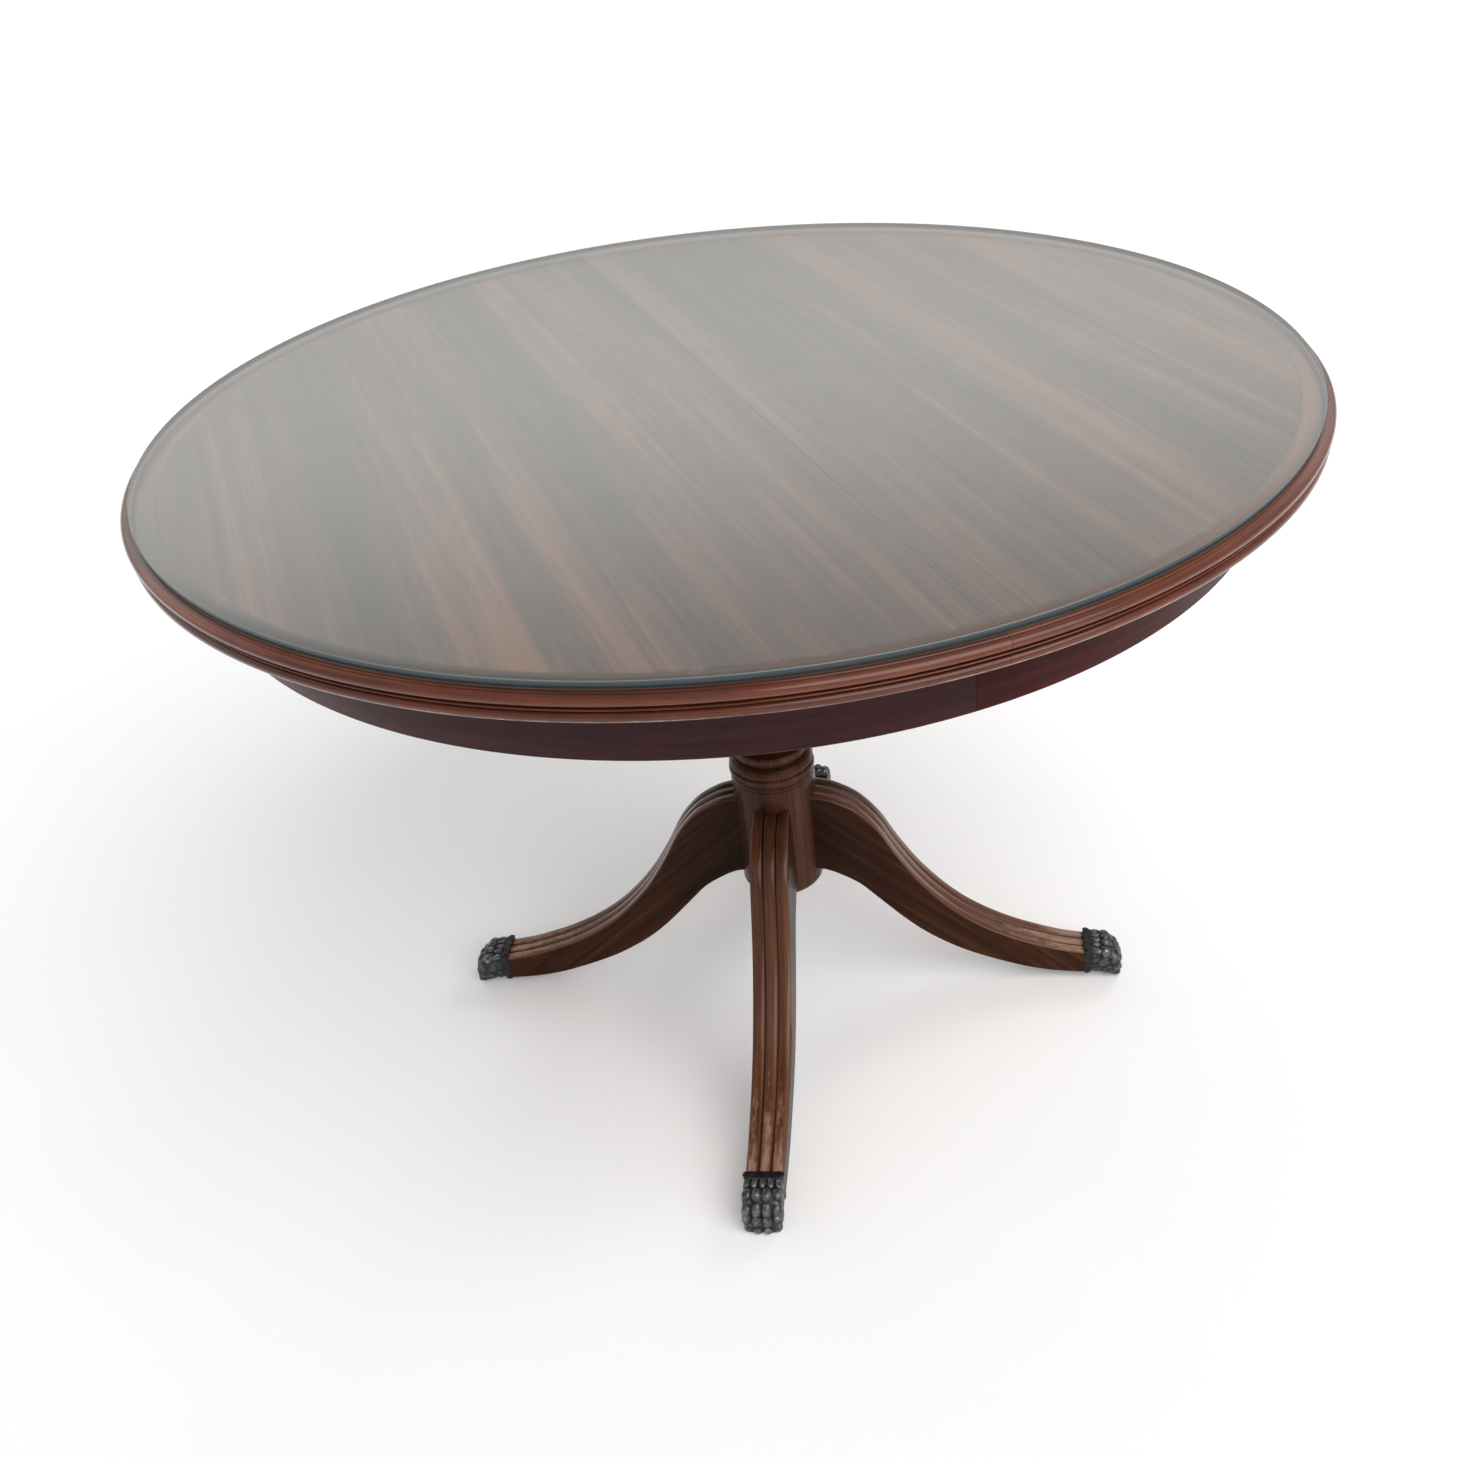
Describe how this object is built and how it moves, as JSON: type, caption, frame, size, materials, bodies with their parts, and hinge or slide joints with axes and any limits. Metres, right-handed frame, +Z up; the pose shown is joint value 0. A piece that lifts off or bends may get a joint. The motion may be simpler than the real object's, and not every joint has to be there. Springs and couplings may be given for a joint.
{
  "type": "round pedestal table",
  "caption": "Round extending pedestal table in polished mahogany: moulded rim, deep apron, turned column, reeded swept legs with brass paw caps and a loose glass cover.",
  "frame": {"origin": "on the floor under the middle of the closed top", "axes": "+Z up; +X is the way half a slides, with the seam between the half tops in the plane X = 0"},
  "size_m": [1.1204, 1.12, 0.763],
  "materials": {
    "mahogany": "satin polish, worn on the edges",
    "mahogany_top": "satin polish",
    "mahogany_rim": "satin polish, rubbed on the mouldings",
    "mahogany_dark": "dark satin polish",
    "beech": "planed, unfinished",
    "aged_brass": "dark patina, rubbed on the high places",
    "steel": "zinc plated",
    "glass": "clear, ground edge",
    "clear_bumper": "clear, soft"
  },
  "bodies": {
    "pedestal": {"column": "mahogany", "tie_rod": "steel", "tie_rod_nuts": "steel", "top_block": "beech", "leg_right": "mahogany", "leg_back": "mahogany", "leg_left": "mahogany", "leg_front": "mahogany", "paw_right": "aged_brass", "paw_back": "aged_brass", "paw_left": "aged_brass", "paw_front": "aged_brass", "leg_dowels": "beech", "cap_screws": "steel", "fixed_rail_left": "beech", "fixed_rail_right": "beech", "rail_screws": "steel", "gear_plate": "steel", "gear_axle": "steel", "axle_clip": "steel", "gear_plate_screws": "steel"},
    "pinion": {"pinion": "steel"},
    "half_a": {"field_a": "mahogany_top", "rim_a": "mahogany_rim", "apron_a": "mahogany_dark", "outer_runner_a": "beech", "inner_runner_a": "beech", "batten_a": "beech", "rack_a": "steel", "rack_screws_a": "steel", "glue_blocks_a": "beech", "seam_pins_a": "beech", "fork_a": "aged_brass", "fork_socket_a": "aged_brass", "top_screws_a": "steel"},
    "half_b": {"field_b": "mahogany_top", "rim_b": "mahogany_rim", "apron_b": "mahogany_dark", "outer_runner_b": "beech", "inner_runner_b": "beech", "batten_b": "beech", "rack_b": "steel", "rack_screws_b": "steel", "glue_blocks_b": "beech", "seam_pins_b": "beech", "fork_b": "aged_brass", "fork_socket_b": "aged_brass", "top_screws_b": "steel"},
    "glass": {"glass_top": "glass", "glass_bumpers": "clear_bumper"}
  },
  "joints": [
    {"name": "half_a_slide", "type": "slide", "parent": "pedestal", "child": "half_a", "axis": [1, 0, 0], "range_m": [0, 0.2]},
    {"name": "half_b_slide", "type": "slide", "parent": "pedestal", "child": "half_b", "axis": [-1, 0, 0], "range_m": [0, 0.2]},
    {"name": "pinion_spin", "type": "hinge", "parent": "pedestal", "child": "pinion", "pos_m": [0, 0, 0.719], "axis": [0, 0, 1], "range_deg": [0, 320]},
    {"name": "glass_lift", "type": "slide", "parent": "pedestal", "child": "glass", "axis": [0, 0, 1], "range_m": [0, 0.15]}
  ],
  "couplings": [
    {"joint": "half_b_slide", "follows": "half_a_slide", "ratio": 1},
    {"joint": "pinion_spin", "follows": "half_a_slide", "rad_per_m": 27.778}
  ]
}
